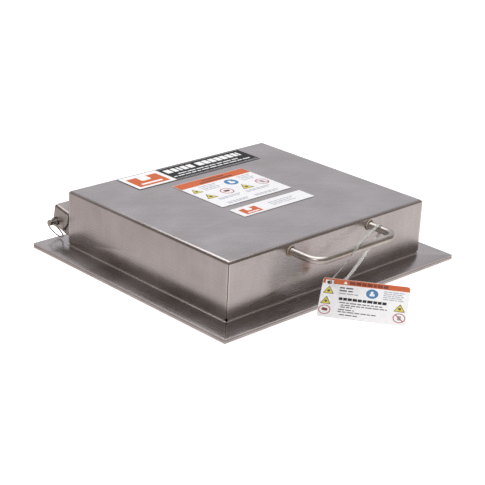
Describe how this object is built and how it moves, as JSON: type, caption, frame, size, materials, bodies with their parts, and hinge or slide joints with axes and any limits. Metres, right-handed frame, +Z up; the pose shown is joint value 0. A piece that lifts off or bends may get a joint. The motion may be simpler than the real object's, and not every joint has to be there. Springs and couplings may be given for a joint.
{
  "type": "hinged plate magnet",
  "caption": "Flat rectangular stainless chute magnet: folded box on a flanged face plate, rod handle in front, hinge leaf on ring pins behind, printed labels and a hanging tag.",
  "frame": {"origin": "plan centre of the working face, the underside of the face plate, which lies on the floor", "axes": "+Z up, out of the labelled top and away from the working face; +X along the hinge axis, to the right seen from the handle; +Y from the handle towards the hinge"},
  "size_m": [0.5424, 0.6193, 0.1081],
  "materials": {
    "brushed_stainless": "satin",
    "face_stainless": "satin",
    "weld_bead": "satin",
    "pin_steel": "satin",
    "ring_wire": "gloss",
    "mild_steel": "matte",
    "ferrite": "matte",
    "spacer_aluminium": "satin",
    "zinc_plate": "satin",
    "nameplate_print": "satin",
    "notice_print": "satin",
    "tag_card": "satin",
    "clear_strap": "gloss"
  },
  "bodies": {
    "housing": {"back_plate": "mild_steel", "bolt_1": "zinc_plate", "bolt_2": "zinc_plate", "bolt_3": "zinc_plate", "bolt_4": "zinc_plate", "face_plate": "face_stainless", "ferrite_1_1_1": "ferrite", "ferrite_1_1_2": "ferrite", "ferrite_1_2_1": "ferrite", "ferrite_1_2_2": "ferrite", "ferrite_1_3_1": "ferrite", "ferrite_1_3_2": "ferrite", "ferrite_2_1_1": "ferrite", "ferrite_2_1_2": "ferrite", "ferrite_2_2_1": "ferrite", "ferrite_2_2_2": "ferrite", "ferrite_2_3_1": "ferrite", "ferrite_2_3_2": "ferrite", "ferrite_3_1_1": "ferrite", "ferrite_3_1_2": "ferrite", "ferrite_3_2_1": "ferrite", "ferrite_3_2_2": "ferrite", "ferrite_3_3_1": "ferrite", "ferrite_3_3_2": "ferrite", "handle": "brushed_stainless", "handle_weld_left": "weld_bead", "handle_weld_right": "weld_bead", "hinge_lug_left": "brushed_stainless", "hinge_lug_right": "brushed_stainless", "housing_pan": "brushed_stainless", "maker_label": "notice_print", "nameplate": "nameplate_print", "notice_label": "notice_print", "pole_plate_1": "mild_steel", "pole_plate_2": "mild_steel", "pole_plate_3": "mild_steel", "post_1": "mild_steel", "post_2": "mild_steel", "post_3": "mild_steel", "post_4": "mild_steel", "spacer_bar_1": "spacer_aluminium", "spacer_bar_2": "spacer_aluminium", "strap_lock": "clear_strap", "tag_strap": "clear_strap", "washer_1": "zinc_plate", "washer_2": "zinc_plate", "washer_3": "zinc_plate", "washer_4": "zinc_plate"},
    "leaf": {"hinge_leaf": "brushed_stainless"},
    "pin_left": {"hinge_pin_left": "pin_steel"},
    "pin_right": {"hinge_pin_right": "pin_steel"},
    "ring_left": {"pin_ring_left": "ring_wire"},
    "ring_right": {"pin_ring_right": "ring_wire"},
    "tag": {"tag": "tag_card"}
  },
  "joints": [
    {"name": "leaf_swing", "type": "hinge", "parent": "housing", "child": "leaf", "pos_m": [0, 0.233, 0.0403], "axis": [-1, 0, 0], "range_deg": [0, 120]},
    {"name": "pin_left_pull", "type": "slide", "parent": "housing", "child": "pin_left", "axis": [-1, 0, 0], "range_m": [0, 0.024]},
    {"name": "pin_right_pull", "type": "slide", "parent": "housing", "child": "pin_right", "axis": [1, 0, 0], "range_m": [0, 0.024]},
    {"name": "ring_left_swing", "type": "hinge", "parent": "pin_left", "child": "ring_left", "pos_m": [-0.23867, 0.233, 0.0403], "axis": [0, -1, 0], "range_deg": [0, 6]},
    {"name": "ring_right_swing", "type": "hinge", "parent": "pin_right", "child": "ring_right", "pos_m": [0.23867, 0.233, 0.0403], "axis": [0, 1, 0], "range_deg": [0, 6]},
    {"name": "tag_lift", "type": "hinge", "parent": "housing", "child": "tag", "pos_m": [-0.0231, -0.2212, 0.0351], "axis": [-0.5807, 0.8141, 0], "range_deg": [0, 20]}
  ]
}
